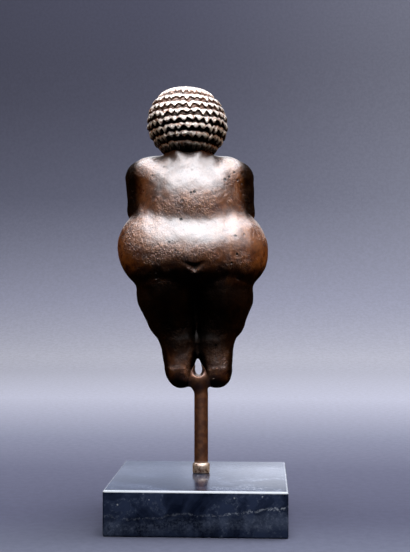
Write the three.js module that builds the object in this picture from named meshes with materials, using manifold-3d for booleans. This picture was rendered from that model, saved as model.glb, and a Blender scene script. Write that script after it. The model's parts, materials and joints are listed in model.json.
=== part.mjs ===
// A venus figurine: a small bronze of a full-figured woman with bowed, faceless head and a cap of toothed
// rows, held by a bronze post with a forked head, on a square block of polished dark marble.
//
// Millimetres, +Z up. The figure faces -Y and its left side is +X. The origin is the middle of the block's
// underside. The three pieces are figure, post and block.

import * as THREE from 'three';
import { mergeVertices } from 'three/addons/utils/BufferGeometryUtils.js';
import Module from 'manifold-3d';

const wasm = await Module();
wasm.setup();

// Driving dimensions of the block
const BLOCK_WIDTH = 62;
const BLOCK_DEPTH = 62;
const BLOCK_HEIGHT = 15.5;
const BLOCK_EASE = 0.5; // bevel on every edge

// Driving dimensions of the post
const POST_DIAMETER = 5;
const POST_REACH = 30.8; // block top to the figure's soles
const POST_FORWARD = 5; // post axis in front of the block's middle, on the side the figure faces
const COLLAR_SWELL = 0.65; // how far the collar at the post's foot stands out all round
const COLLAR_HEIGHT = 4.1;
const CUP_WIDTH = 8; // the fork is a cup between the calves, hollowed from front to back
const CUP_DEPTH = 8.6;
const CUP_HEIGHT = 8.4;
const CUP_RISE = 3.6; // soles to the cup's middle
const HOLLOW_DIAMETER = 4.4;
const HOLLOW_RISE = 6.8; // soles to the hollow's middle
const NECK_DROP = 1.8; // soles down to where the rod begins to swell
const NECK_BLEND = 2; // how softly the rod runs into the cup
const SEAT_GAP = 0.3; // clearance between the fork and the calves it holds

// Driving dimensions of the figure
const FIGURE_HEIGHT = 110; // soles to crown
const FIGURE_LEAN = 2.6; // degrees to its own left, with the soles kept level
const FIGURE_TURN = 4; // degrees about the post
const FIGURE_ASIDE = 0.7; // soles beside the post's axis, to the figure's left
const CAP_RELIEF = 0.85; // height of a toothed edge above the groove under it

// Counts
const CAP_ROWS = 8;
const CAP_TEETH = 30;
const ROUND_SIDES = 24; // sides of the post

// Fineness of the skins: the figure's as a share of its height, the fork's as a share of the rod
const SKIN_STEP = 0.0206;
const FORK_STEP = 0.21;
const EVEN_TURNS = 3;

// How a vertex is moved onto its skin, in shares of a grid cell
const MOVE_REACH = 0.4; // how far it may leave its place
const PROBE = 0.1; // distance over which the slope is measured
const JUST_INSIDE = 0.01;
const LEAST_SLOPE = 0.3; // flatter than this, a mass's distance is too rough to divide by

// The figure's masses and cuts, in shares of its height: [x, y, z] with x to its left, y to its back and z
// up from the soles. A ball has a radius along each axis, and a limb tapers between two ends. The last
// number is how softly a mass runs into the ones before it.
const ball = (at, radii, blend) => [{ at, radii, blend }];
const limb = (from, to, ends, blend) => [{ from, to, ends, blend }];
const mirrored = ([x, y, z]) => [-x, y, z];

// A mass and its twin across the middle
function pair([mass]) {
  const twin = mass.at ? { at: mirrored(mass.at) } : { from: mirrored(mass.from), to: mirrored(mass.to) };
  return [mass, { ...mass, ...twin }];
}

const MASSES = Object.values({
  chest: ball([0, 0.008, 0.628], [0.165, 0.11, 0.118], 0),
  shoulders: pair(ball([0.105, -0.02, 0.703], [0.1, 0.078, 0.067], 0.035)),
  neck: limb([0, -0.006, 0.68], [0, -0.014, 0.8], [0.092, 0.07], 0.03),
  loin: ball([0, -0.002, 0.57], [0.165, 0.104, 0.09], 0.055),
  belly: ball([0, -0.072, 0.462], [0.178, 0.142, 0.13], 0.03),
  hips: pair(ball([0.126, 0.012, 0.457], [0.122, 0.116, 0.134], 0.045)),
  rump: ball([0, 0.046, 0.45], [0.17, 0.112, 0.12], 0.04),
  seat: pair(ball([0.086, -0.016, 0.352], [0.104, 0.116, 0.15], 0.024)),
  thighs: pair(limb([0.092, -0.022, 0.3], [0.078, -0.034, 0.235], [0.1, 0.088], 0.024)),
  knees: pair(ball([0.062, -0.04, 0.17], [0.054, 0.052, 0.058], 0.024)),
  calves: pair(limb([0.058, -0.016, 0.15], [0.063, 0, 0.068], [0.064, 0.049], 0.024)),
  stumps: pair(ball([0.057, -0.008, 0.036], [0.043, 0.038, 0.036], 0.03)),
  breasts: pair(ball([0.082, -0.128, 0.604], [0.084, 0.078, 0.094], 0.02)),
  upperArms: pair(limb([0.164, -0.022, 0.694], [0.17, -0.038, 0.588], [0.05, 0.041], 0.02)),
  forearms: pair(limb([0.17, -0.038, 0.583], [0.124, -0.178, 0.525], [0.041, 0.031], 0.018)),
  hands: pair(ball([0.076, -0.204, 0.515], [0.055, 0.028, 0.032], 0.016)),
}).flat();

const CUTS = Object.values({
  navel: ball([0, -0.222, 0.44], [0.016, 0.022, 0.016], 0.01),
  nape: ball([0, 0.092, 0.79], [0.078, 0.04, 0.034], 0.012),
  cleftTop: pair(limb([0, 0.146, 0.395], [0.038, 0.152, 0.415], [0.02, 0.012], 0.008)),
}).flat();

// The head, in the same shares: a globe with its own axis, bowed forward.
const HEAD_AT = [0, -0.016, 0.87];
const HEAD_RADII = [0.13, 0.128, 0.13];
const HEAD_BOW = 7; // degrees
const HEAD_TAPER = 0.24; // how much the head narrows below its middle
const FACE_HALF_WIDTH = 0.8; // radians to each side of straight ahead
const FACE_FLATTEN = 0.035; // how far the blank face lies under the cap, as a share of the head's radius

// Heights on the head, in shares of its half height: 1 at the crown, 0 at the middle, -1 under the chin
const CROWN_RINGS = [0.95, 0.87];
const CAP_TOP = 0.72; // first toothed edge
const CAP_BOTTOM = -0.7; // last toothed edge
const CHIN_RINGS = [-0.86, -0.96];
const ROW_SWAY = 0.018; // slow rise and fall of a row
const SWAY_SHIFT = 0.9; // radians that the sway turns from one row to the next
const FACE_MIDDLE = -0.16;
const FACE_HALF_HEIGHT = 0.66;
const FACE_EDGE = [0.86, 1.06]; // shares of the way from the face's middle, between which the relief rises

// In shares of the space between rows
const TOOTH_DROP = 0.52; // how far a tooth hangs round the head's middle
const GROOVE_DROP = 0.42; // how far the groove follows the tooth over it
const GROOVE_LAG = 0.12; // groove under its toothed edge

const BRONZE = { color: 0x6b4128, roughness: 0.32, metalness: 1 };
const ROD_BRONZE = { color: 0x5c3c28, roughness: 0.4, metalness: 1 };
const MARBLE = { color: 0x15191f, roughness: 0.12, metalness: 0 };

// Distance from a point to a mass, in shares. Both are near enough to a true distance close to the skin.
function ballDistance(x, y, z, { at, radii }) {
  const [dx, dy, dz] = [x - at[0], y - at[1], z - at[2]];
  const near = Math.hypot(dx / radii[0], dy / radii[1], dz / radii[2]);
  const slope = Math.hypot(dx / radii[0] ** 2, dy / radii[1] ** 2, dz / radii[2] ** 2);
  return slope > 0 ? (near * (near - 1)) / slope : -Math.min(...radii);
}

function limbDistance(x, y, z, { from, to, ends }) {
  const run = [to[0] - from[0], to[1] - from[1], to[2] - from[2]];
  const along = (x - from[0]) * run[0] + (y - from[1]) * run[1] + (z - from[2]) * run[2];
  const t = THREE.MathUtils.clamp(along / (run[0] ** 2 + run[1] ** 2 + run[2] ** 2), 0, 1);
  const away = Math.hypot(x - from[0] - t * run[0], y - from[1] - t * run[1], z - from[2] - t * run[2]);
  return away - THREE.MathUtils.lerp(ends[0], ends[1], t);
}

function massDistance(x, y, z, mass) {
  return mass.at ? ballDistance(x, y, z, mass) : limbDistance(x, y, z, mass);
}

// The smaller of two distances, rounded over where they are within blend of each other
function softMin(a, b, blend) {
  if (blend === 0) return Math.min(a, b);
  const overlap = Math.max(blend - Math.abs(a - b), 0) / blend;
  return Math.min(a, b) - (overlap * overlap * blend) / 4;
}

// Distance in millimetres from a point to the body's skin: negative inside
function bodyDistance(xMm, yMm, zMm) {
  const [x, y, z] = [xMm / FIGURE_HEIGHT, yMm / FIGURE_HEIGHT, zMm / FIGURE_HEIGHT];
  let distance = Infinity;
  for (const mass of MASSES) distance = softMin(distance, massDistance(x, y, z, mass), mass.blend);
  for (const cut of CUTS) distance = -softMin(-distance, massDistance(x, y, z, cut), cut.blend);
  return distance * FIGURE_HEIGHT;
}

// Skin a distance function inside a box: one vertex in each grid cell that the skin crosses, moved onto the
// skin, and one quad round each grid edge that it crosses.
function skin(distance, low, high, step) {
  const counts = [0, 1, 2].map((axis) => Math.ceil((high[axis] - low[axis]) / step) + 1);
  const strides = [1, counts[0], counts[0] * counts[1]];
  const at = (i, j, k) => [low[0] + i * step, low[1] + j * step, low[2] + k * step];
  const values = new Float64Array(counts[0] * counts[1] * counts[2]);
  const each = (limit, visit) => {
    for (let k = 0; k < counts[2] - limit; k++)
      for (let j = 0; j < counts[1] - limit; j++)
        for (let i = 0; i < counts[0] - limit; i++) visit(i, j, k, i + j * strides[1] + k * strides[2]);
  };
  each(0, (i, j, k, index) => {
    values[index] = distance(...at(i, j, k));
  });
  closePinches(values, strides, each, step);

  const corners = [0, 1, 2, 3, 4, 5, 6, 7].map((c) => [c & 1, (c >> 1) & 1, c >> 2]);
  const offsets = corners.map(([i, j, k]) => i + j * strides[1] + k * strides[2]);
  const edges = [];
  for (let a = 0; a < 8; a++)
    for (const bit of [1, 2, 4]) if (!(a & bit)) edges.push([a, a | bit]);

  const points = [];
  const vertexOf = new Map();
  each(1, (i, j, k, index) => {
    const sum = [0, 0, 0];
    let crossings = 0;
    for (const [a, b] of edges) {
      const [va, vb] = [values[index + offsets[a]], values[index + offsets[b]]];
      if (va < 0 === vb < 0) continue;
      const t = va / (va - vb);
      for (let axis = 0; axis < 3; axis++)
        sum[axis] += THREE.MathUtils.lerp(corners[a][axis], corners[b][axis], t);
      crossings++;
    }
    if (!crossings) return;
    const start = at(i, j, k).map((value, axis) => value + (sum[axis] / crossings) * step);
    vertexOf.set(index, points.length);
    points.push(ontoSkin(distance, start, step));
  });

  const faces = [];
  each(1, (i, j, k, index) => {
    for (let axis = 0; axis < 3; axis++) {
      const inside = values[index] < 0;
      if (inside === values[index + strides[axis]] < 0) continue;
      const [u, v] = [strides[(axis + 1) % 3], strides[(axis + 2) % 3]];
      const quad = [index, index - u, index - u - v, index - v].map((cell) => vertexOf.get(cell));
      if (quad.includes(undefined)) continue;
      const [a, b, c, d] = inside ? quad : quad.reverse();
      faces.push(a, b, c, a, c, d);
    }
  });
  evenOut(distance, points, faces, step);
  const geometry = new THREE.BufferGeometry();
  geometry.setAttribute('position', new THREE.Float32BufferAttribute(points.flat(), 3));
  geometry.setIndex(faces);
  return geometry;
}

// Slide each point half way to the middle of its neighbours and back onto the skin, so that faces are even
function evenOut(distance, points, faces, step) {
  const neighbours = points.map(() => new Set());
  for (let f = 0; f < faces.length; f += 3)
    for (let side = 0; side < 3; side++) neighbours[faces[f + side]].add(faces[f + ((side + 1) % 3)]);
  for (let turn = 0; turn < EVEN_TURNS; turn++) {
    const middles = neighbours.map((near, index) => {
      const middle = [0, 0, 0];
      for (const other of near) points[other].forEach((value, axis) => (middle[axis] += value / near.size));
      return middle.map((value, axis) => (value + points[index][axis]) / 2);
    });
    middles.forEach((middle, index) => {
      points[index] = ontoSkin(distance, middle, step);
    });
  }
}

// A square of the grid that is in, out, in and out round its corners would pinch the skin to a line, so the
// outer corner nearer the skin is taken as just inside, until no such square is left.
function closePinches(values, strides, each, step) {
  const sides = [[strides[0], strides[1]], [strides[1], strides[2]], [strides[2], strides[0]]];
  let pinched = true;
  while (pinched) {
    pinched = false;
    each(1, (i, j, k, index) => {
      for (const [u, v] of sides) {
        const square = [index, index + u, index + u + v, index + v];
        const [a, b, c, d] = square.map((corner) => values[corner] < 0);
        if (a !== c || b !== d || a === b) continue;
        const outer = a ? [square[1], square[3]] : [square[0], square[2]];
        const nearest = values[outer[0]] < values[outer[1]] ? outer[0] : outer[1];
        values[nearest] = -step * JUST_INSIDE;
        pinched = true;
      }
    });
  }
}

// Move a point straight along the slope of the distance until it lies on the skin, within its own cell
function ontoSkin(distance, start, step) {
  const reach = step * MOVE_REACH;
  const probe = step * PROBE;
  let point = start;
  for (let turn = 0; turn < 3; turn++) {
    const slope = [0, 1, 2].map((axis) => {
      const [ahead, behind] = [point.slice(), point.slice()];
      ahead[axis] += probe;
      behind[axis] -= probe;
      return (distance(...ahead) - distance(...behind)) / (2 * probe);
    });
    const pull = distance(...point) / Math.max(slope[0] ** 2 + slope[1] ** 2 + slope[2] ** 2, LEAST_SLOPE);
    point = point.map((value, axis) =>
      THREE.MathUtils.clamp(value - pull * slope[axis], start[axis] - reach, start[axis] + reach),
    );
  }
  return point;
}

// Manifold solids: in from a closed geometry, and back out to one
function solid(geometry) {
  const bare = geometry.clone();
  bare.deleteAttribute('normal');
  bare.deleteAttribute('uv');
  const merged = mergeVertices(bare, 1e-4);
  return new wasm.Manifold(
    new wasm.Mesh({
      numProp: 3,
      vertProperties: merged.attributes.position.array,
      triVerts: new Uint32Array(merged.index.array),
    }),
  );
}

function shell(manifold) {
  const { vertProperties, triVerts } = manifold.getMesh();
  const geometry = new THREE.BufferGeometry();
  geometry.setAttribute('position', new THREE.BufferAttribute(vertProperties, 3));
  geometry.setIndex(new THREE.BufferAttribute(triVerts, 1));
  geometry.computeVertexNormals();
  return geometry;
}

// How much of the cap's relief shows at an angle round the head: 0 on the blank face, 1 on the cap
function capShare(angle, height) {
  const ahead = THREE.MathUtils.euclideanModulo(angle + Math.PI / 2 + Math.PI, 2 * Math.PI) - Math.PI;
  const off = Math.hypot(ahead / FACE_HALF_WIDTH, (height - FACE_MIDDLE) / FACE_HALF_HEIGHT);
  return THREE.MathUtils.smoothstep(off, ...FACE_EDGE);
}

// The head as one closed shell of rings from crown to chin. Each row of the cap ends in a toothed ring that
// stands out, and a second ring just under it that lies back in the groove.
function headGeometry() {
  const [rx, ry, rz] = HEAD_RADII.map((share) => share * FIGURE_HEIGHT);
  const segments = CAP_TEETH * 2;
  const spacing = (CAP_TOP - CAP_BOTTOM) / (CAP_ROWS - 1);
  const rings = CROWN_RINGS.map((height) => ({ height }));
  for (let row = 0; row < CAP_ROWS; row++) {
    const height = CAP_TOP - row * spacing;
    const reach = spacing * Math.sqrt(1 - height * height); // teeth are shorter where they are narrower
    rings.push({ height, row, out: 0.5, drop: reach * TOOTH_DROP });
    rings.push({ height: height - spacing * GROOVE_LAG, row, out: -0.5, drop: reach * GROOVE_DROP });
  }
  rings.push(...CHIN_RINGS.map((height) => ({ height })));

  const points = [0, 0, rz];
  for (const { height, row, out = 0, drop = 0 } of rings)
    for (let s = 0; s < segments; s++) {
      const angle = (s / segments) * 2 * Math.PI;
      const share = capShare(angle, height);
      const tooth = row === undefined ? 0 : ((s + row) % 2 ? 0.5 : -0.5) * drop * share;
      const sway = row === undefined ? 0 : ROW_SWAY * Math.sin(2 * angle + row * SWAY_SHIFT);
      const h = height + tooth + sway;
      const ring = Math.sqrt(1 - h * h) * (1 - HEAD_TAPER * Math.min(h, 0) ** 2);
      const stand = out * CAP_RELIEF * share - FACE_FLATTEN * rx * (1 - share);
      points.push(
        (rx + stand) * ring * Math.cos(angle),
        (ry + stand) * ring * Math.sin(angle),
        (rz + stand) * h,
      );
    }
  points.push(0, 0, -rz);

  const last = points.length / 3 - 1;
  const faces = [];
  for (let s = 0; s < segments; s++) {
    const next = (s + 1) % segments;
    faces.push(0, 1 + s, 1 + next);
    for (let ring = 0; ring < rings.length - 1; ring++) {
      const [upper, lower] = [1 + ring * segments, 1 + (ring + 1) * segments];
      // Each face pair is split from notch to notch, so that a tooth is a leaf with a ridge down it
      const notchAtNext = (s + (rings[ring].row ?? rings[ring + 1].row ?? 0)) % 2 === 1;
      if (notchAtNext) faces.push(upper + s, lower + s, upper + next, lower + s, lower + next, upper + next);
      else faces.push(upper + s, lower + s, lower + next, upper + s, lower + next, upper + next);
    }
    const bottom = 1 + (rings.length - 1) * segments;
    faces.push(bottom + s, last, bottom + next);
  }
  const geometry = new THREE.BufferGeometry();
  geometry.setAttribute('position', new THREE.Float32BufferAttribute(points, 3));
  geometry.setIndex(faces);
  geometry.rotateX(THREE.MathUtils.degToRad(HEAD_BOW));
  geometry.translate(...HEAD_AT.map((share) => share * FIGURE_HEIGHT));
  return geometry;
}

// The box that the body's skin needs, in millimetres
const BODY_LOW = [-0.28, -0.26, -0.03].map((share) => share * FIGURE_HEIGHT);
const BODY_HIGH = [0.28, 0.2, 0.9].map((share) => share * FIGURE_HEIGHT);

const SOLES = BLOCK_HEIGHT + POST_REACH;
const LEAN_SLOPE = Math.tan(THREE.MathUtils.degToRad(FIGURE_LEAN));
const figurePlace = new THREE.Matrix4()
  .makeTranslation(FIGURE_ASIDE, -POST_FORWARD, SOLES)
  .multiply(new THREE.Matrix4().makeShear(0, 0, 0, 0, LEAN_SLOPE, 0))
  .multiply(new THREE.Matrix4().makeRotationZ(THREE.MathUtils.degToRad(FIGURE_TURN)));

const figureFromBlock = figurePlace.clone().invert();

function figureGeometry() {
  const body = skin(bodyDistance, BODY_LOW, BODY_HIGH, SKIN_STEP * FIGURE_HEIGHT);
  const figure = solid(body).add(solid(headGeometry()));
  return shell(figure).applyMatrix4(figurePlace);
}

// The rod with its collar, turned about its own axis from the block's top
function rodGeometry() {
  const rod = POST_DIAMETER / 2;
  const collar = rod + COLLAR_SWELL;
  const shoulder = COLLAR_HEIGHT - COLLAR_SWELL * 2;
  const top = POST_REACH - NECK_DROP;
  const profile = new THREE.Path();
  profile.moveTo(0, 0);
  profile.lineTo(collar, 0);
  profile.lineTo(collar, shoulder);
  profile.quadraticCurveTo(collar, COLLAR_HEIGHT, rod, COLLAR_HEIGHT);
  profile.lineTo(rod, top);
  profile.lineTo(0, top);
  return new THREE.LatheGeometry(profile.getPoints(4), ROUND_SIDES).rotateX(Math.PI / 2);
}

const NECK_OVERLAP = 1.02; // the fork's lower end is a hair wider than the rod that it's joined to
const NECK_ENDS = [(POST_DIAMETER / 2) * NECK_OVERLAP, POST_DIAMETER / 2];

// Distance to the fork: a cup on the rod's end about the middle of the calves, less the hollow that leaves
// its two prongs, and less the calves and the clearance round them. Heights are from the block's top.
function forkDistance(x, y, z) {
  const height = POST_REACH + CUP_RISE;
  const middle = FIGURE_ASIDE + CUP_RISE * LEAN_SLOPE;
  const neck = { from: [0, 0, POST_REACH - NECK_DROP], to: [middle, 0, height], ends: NECK_ENDS };
  const cup = { at: [middle, 0, height], radii: [CUP_WIDTH / 2, CUP_DEPTH / 2, CUP_HEIGHT / 2] };
  const hollow = Math.hypot(x - middle, z - POST_REACH - HOLLOW_RISE) - HOLLOW_DIAMETER / 2;
  const swell = softMin(limbDistance(x, y, z, neck), ballDistance(x, y, z, cup), NECK_BLEND);
  const onFigure = new THREE.Vector3(x, y - POST_FORWARD, z + BLOCK_HEIGHT).applyMatrix4(figureFromBlock);
  return Math.max(swell, -hollow, SEAT_GAP - bodyDistance(onFigure.x, onFigure.y, onFigure.z));
}

function postGeometry() {
  const reach = Math.max(CUP_WIDTH, CUP_DEPTH, POST_DIAMETER) / 2 + FIGURE_ASIDE + NECK_BLEND;
  const low = [-reach, -reach, POST_REACH - NECK_DROP - POST_DIAMETER];
  const high = [reach, reach, POST_REACH + CUP_RISE + CUP_HEIGHT];
  const fork = skin(forkDistance, low, high, FORK_STEP * POST_DIAMETER);
  const post = solid(rodGeometry()).add(solid(fork));
  return shell(post).translate(0, -POST_FORWARD, BLOCK_HEIGHT);
}

// The block: a square slab with a small flat bevel on every edge
function blockGeometry() {
  const [w, d] = [BLOCK_WIDTH / 2, BLOCK_DEPTH / 2];
  const e = BLOCK_EASE;
  const front = [[-w, -d + e], [-w + e, -d], [w - e, -d], [w, -d + e]];
  const back = front.map(([x, y]) => [-x, -y]);
  const outline = new THREE.Shape([...front, ...back].map(([x, y]) => new THREE.Vector2(x, y)));
  const block = new THREE.ExtrudeGeometry(outline, {
    depth: BLOCK_HEIGHT - 2 * e,
    bevelThickness: e,
    bevelSize: e,
    bevelOffset: -e,
    bevelSegments: 1,
  });
  return block.translate(0, 0, e);
}

function piece(name, geometry, finish) {
  const mesh = new THREE.Mesh(geometry, new THREE.MeshStandardMaterial(finish));
  mesh.name = name;
  return mesh;
}

const figurine = new THREE.Group();
figurine.add(piece('figure', figureGeometry(), BRONZE));
figurine.add(piece('post', postGeometry(), ROD_BRONZE));
figurine.add(piece('block', blockGeometry(), MARBLE));

export default figurine;
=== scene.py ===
# %% [markdown]
# A venus figurine on its stand
#
# This lesson dresses a small cast bronze: a full-figured woman with a bowed, faceless head, held by
# a forked post on a block of polished marble. The solids of the part come in as a fixed frame, in
# metres, with +Z up and the figure facing -Y. Everything made here stands where those solids stand.

import json
import math

import bpy
import bmesh
import numpy as np
from mathutils import Matrix, Vector

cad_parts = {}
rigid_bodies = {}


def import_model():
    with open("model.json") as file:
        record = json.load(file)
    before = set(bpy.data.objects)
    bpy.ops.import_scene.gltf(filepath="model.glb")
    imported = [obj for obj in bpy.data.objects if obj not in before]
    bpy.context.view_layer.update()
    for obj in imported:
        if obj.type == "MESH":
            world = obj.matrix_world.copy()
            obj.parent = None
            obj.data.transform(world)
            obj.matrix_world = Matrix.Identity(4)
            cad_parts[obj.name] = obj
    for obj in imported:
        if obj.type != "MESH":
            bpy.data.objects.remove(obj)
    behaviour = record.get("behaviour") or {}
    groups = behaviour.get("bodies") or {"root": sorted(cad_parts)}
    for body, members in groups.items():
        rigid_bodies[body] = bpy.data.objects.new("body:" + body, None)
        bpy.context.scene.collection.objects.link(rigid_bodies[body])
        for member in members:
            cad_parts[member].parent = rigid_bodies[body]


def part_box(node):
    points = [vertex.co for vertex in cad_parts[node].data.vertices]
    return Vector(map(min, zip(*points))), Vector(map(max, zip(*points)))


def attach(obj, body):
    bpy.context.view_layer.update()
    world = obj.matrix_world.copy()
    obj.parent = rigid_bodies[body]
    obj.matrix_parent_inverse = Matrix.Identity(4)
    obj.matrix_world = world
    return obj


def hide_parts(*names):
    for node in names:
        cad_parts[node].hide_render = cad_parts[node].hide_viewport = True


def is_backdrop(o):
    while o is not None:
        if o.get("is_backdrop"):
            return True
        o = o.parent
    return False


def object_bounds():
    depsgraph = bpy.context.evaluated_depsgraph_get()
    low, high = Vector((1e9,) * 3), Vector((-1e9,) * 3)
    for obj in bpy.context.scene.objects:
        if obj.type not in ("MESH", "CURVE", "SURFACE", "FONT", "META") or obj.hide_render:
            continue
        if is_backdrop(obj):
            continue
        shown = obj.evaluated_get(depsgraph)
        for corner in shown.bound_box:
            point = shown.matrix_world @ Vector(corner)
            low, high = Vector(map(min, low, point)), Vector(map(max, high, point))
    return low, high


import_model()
frame_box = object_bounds()
MM = 0.001
for node in ("figure", "post", "block"):
    low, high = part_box(node)
    print(node, "measures", [round(side / MM, 1) for side in high - low], "mm")

# %% [markdown]
# The figure's proportions
#
# The body was modelled in wax before it was cast, from rounded masses pressed into each other. It
# is described here the same way, with the same balls and limbs as the part's solid, in shares of
# the figure's height. x runs to the figure's left, y to its back and z up from the soles. The last
# number of each mass is how softly it runs into the ones before it. Creases are a little tighter
# here than in the solid, because this skin is finer.

# %% Masses of the body
FIGURE_HEIGHT = 110 * MM


def ball(at, radii, blend):
    """One egg-shaped mass, in a list, as pairs are."""
    return [{"at": np.array(at), "radii": np.array(radii), "blend": blend}]


def limb(start, end, ends, blend):
    """One round-ended rod that runs from one radius to another."""
    return [{"start": np.array(start), "end": np.array(end), "ends": ends, "blend": blend}]


def pair(masses):
    """Masses of the figure's left side, and their twins on its right."""
    twins = []
    for mass in masses:
        twin = dict(mass)
        for corner in {"at", "start", "end"} & set(mass):
            twin[corner] = mass[corner] * (-1, 1, 1)
        twins += [mass, twin]
    return twins


MASSES = [
    *ball([0, 0.008, 0.628], [0.165, 0.11, 0.118], 0),  # chest
    *pair(ball([0.105, -0.02, 0.703], [0.1, 0.078, 0.067], 0.035)),  # shoulders
    *limb([0, -0.006, 0.68], [0, -0.014, 0.8], [0.092, 0.07], 0.03),  # neck
    *ball([0, -0.002, 0.57], [0.165, 0.104, 0.09], 0.055),  # loin
    *ball([0, -0.072, 0.462], [0.178, 0.142, 0.13], 0.03),  # belly
    *pair(ball([0.126, 0.012, 0.457], [0.122, 0.116, 0.134], 0.045)),  # hips
    *ball([0, 0.046, 0.45], [0.17, 0.112, 0.12], 0.04),  # rump
    *pair(ball([0.086, -0.016, 0.352], [0.104, 0.116, 0.15], 0.02)),  # seat
    *pair(limb([0.092, -0.022, 0.3], [0.078, -0.034, 0.235], [0.1, 0.088], 0.02)),  # thighs
    *pair(ball([0.062, -0.04, 0.17], [0.054, 0.052, 0.058], 0.018)),  # knees
    *pair(limb([0.058, -0.016, 0.15], [0.063, 0, 0.068], [0.064, 0.049], 0.024)),  # calves
    *pair(ball([0.057, -0.008, 0.036], [0.043, 0.038, 0.036], 0.026)),  # stumps
    *pair(ball([0.082, -0.128, 0.604], [0.084, 0.078, 0.094], 0.013)),  # breasts
    *pair(limb([0.164, -0.022, 0.694], [0.17, -0.038, 0.588], [0.05, 0.041], 0.013)),  # upper arms
    *pair(limb([0.17, -0.038, 0.583], [0.124, -0.178, 0.525], [0.041, 0.031], 0.012)),  # forearms
    *pair(ball([0.076, -0.204, 0.515], [0.055, 0.028, 0.032], 0.01)),  # hands
]
CUTS = [
    *ball([0, -0.222, 0.44], [0.016, 0.022, 0.016], 0.008),  # navel
    *ball([0, 0.092, 0.79], [0.078, 0.04, 0.034], 0.012),  # nape, under the cap
    *pair(limb([0, 0.15, 0.395], [0.036, 0.156, 0.415], [0.011, 0.005], 0.005)),  # top of the cleft
]
print(len(MASSES), "masses and", len(CUTS), "cuts")

# %% [markdown]
# A skin for soft shapes
#
# Where masses flow into each other there is no outline to extrude or lathe. A distance function is
# simpler: it says for any point how far away the surface is, with a minus sign inside, and two
# shapes melt together by taking the smaller of their two distances and rounding it. NumPy works it
# out for a whole grid at once.

# %% Distance to the body
LEAST_SLOPE = 1e-6  # keeps the division sound in the very middle of a ball


def ball_distance(points, mass):
    away = points - mass["at"]
    near = np.linalg.norm(away / mass["radii"], axis=1)
    slope = np.linalg.norm(away / mass["radii"] ** 2, axis=1)
    return near * (near - 1) / np.maximum(slope, LEAST_SLOPE)


def limb_distance(points, mass):
    run = mass["end"] - mass["start"]
    along = np.clip((points - mass["start"]) @ run / (run @ run), 0, 1)
    away = np.linalg.norm(points - mass["start"] - along[:, None] * run, axis=1)
    first, last = mass["ends"]
    return away - (first + (last - first) * along)


def mass_distance(points, mass):
    return ball_distance(points, mass) if "at" in mass else limb_distance(points, mass)


def soft_min(a, b, blend):
    """The smaller of two distances, rounded over where they are within blend of each other."""
    if blend == 0:
        return np.minimum(a, b)
    overlap = np.maximum(blend - np.abs(a - b), 0) / blend
    return np.minimum(a, b) - overlap**2 * blend / 4


def smooth_step(value, low, high):
    """0 below low, 1 above high and smooth between them. It turns round where high is lower."""
    share = np.clip((value - low) / (high - low), 0, 1)
    return share * share * (3 - 2 * share)


swell = -soft_min(np.zeros(1), np.zeros(1), 1)[0]
print("where two shapes meet, the skin swells by", swell, "of their blend")

# %% [markdown]
# The fingers and the hand-made unevenness
#
# Fingers are a row of small limbs laid on each hand. A casting from a hand-made wax is never quite
# even either: shallow dents, a few millimetres wide and under a tenth of one deep, break up its
# highlights. They could be painted as bumps, but a real dent also shows in the outline. Ten waves
# that run in all directions and get shorter one by one give them, and always the same way. The
# directions follow a golden spiral, which spreads them evenly.

# %% Distance to the finished body
FINGERS = 4
FINGER_RADIUS = 0.0095
FINGER_TAPER = 0.8
FINGER_SPACING = 0.0165
FINGER_BLEND = 0.004
KNUCKLES = np.array([0.074, -0.224, 0.513])  # the middle of the row on the figure's left hand
FINGERTIPS = np.array([0.03, -0.219, 0.507])
FINGER_FAN = 1.1
HAND_ARCH = 0.3
for finger in range(FINGERS):
    drop = (finger - (FINGERS - 1) / 2) * FINGER_SPACING
    arch = abs(drop) * HAND_ARCH
    knuckle, tip = KNUCKLES + (0, arch, -drop), FINGERTIPS + (0, arch, -drop * FINGER_FAN)
    MASSES += pair(limb(knuckle, tip, [FINGER_RADIUS, FINGER_RADIUS * FINGER_TAPER], FINGER_BLEND))

LUMP_WAVES = 10
LUMP_LENGTHS = np.geomspace(8.5 * MM, 2.8 * MM, LUMP_WAVES)  # from crest to crest
LUMP_SLOPE = 0.024  # the steepest part of each wave
GOLDEN_TURN = math.pi * (3 - math.sqrt(5))


def lumps(points):
    """How far the skin stands out at each point: the sum of waves that run in all directions."""
    height = np.zeros(len(points))
    for wave, length in enumerate(LUMP_LENGTHS):
        up = 1 - (2 * wave + 1) / LUMP_WAVES
        flat, angle = math.sqrt(1 - up * up), wave * GOLDEN_TURN
        direction = np.array([flat * math.cos(angle), flat * math.sin(angle), up])
        phase = 2 * math.pi / length
        height += np.sin((points @ direction) * phase + wave) * LUMP_SLOPE / phase
    return height


def body_distance(points):
    """Metres from each point to the smooth body's skin: less than zero inside."""
    shares = points / FIGURE_HEIGHT
    distance = np.full(len(points), np.inf)
    for mass in MASSES:
        distance = soft_min(distance, mass_distance(shares, mass), mass["blend"])
    for cut in CUTS:
        distance = -soft_min(-distance, mass_distance(shares, cut), cut["blend"])
    return distance * FIGURE_HEIGHT


def cast_distance(points):
    """The same with the casting's dents."""
    return body_distance(points) - lumps(points)


print(len(MASSES), "masses with the fingers, and", LUMP_WAVES, "waves")

# %% [markdown]
# From distances to faces
#
# The grid is walked cell by cell. A cell that the skin passes through gets one vertex, and each
# grid edge that the skin crosses gets one four-sided face between the cells round it. The vertices
# then slide along the skin until the faces are even. Blender has metaballs for soft shapes too, but
# they have one blend for all of them and no way to cut, so this short mesher is worth its lines.

# %% Points on a skin
EVEN_TURNS = 3
SKIN_TURNS = 3
PROBES_PER_STEP = 10
LEAST_PULL = 0.3  # keeps points from leaping where the distance is nearly flat
SLIDE_LIMIT = 0.4  # how far a point may move, in steps of the grid


def shifted(values, offset, counts):
    """The grid seen from one corner of each cell."""
    i, j, k = offset
    return values[i : counts[0] - 1 + i, j : counts[1] - 1 + j, k : counts[2] - 1 + k]


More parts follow.
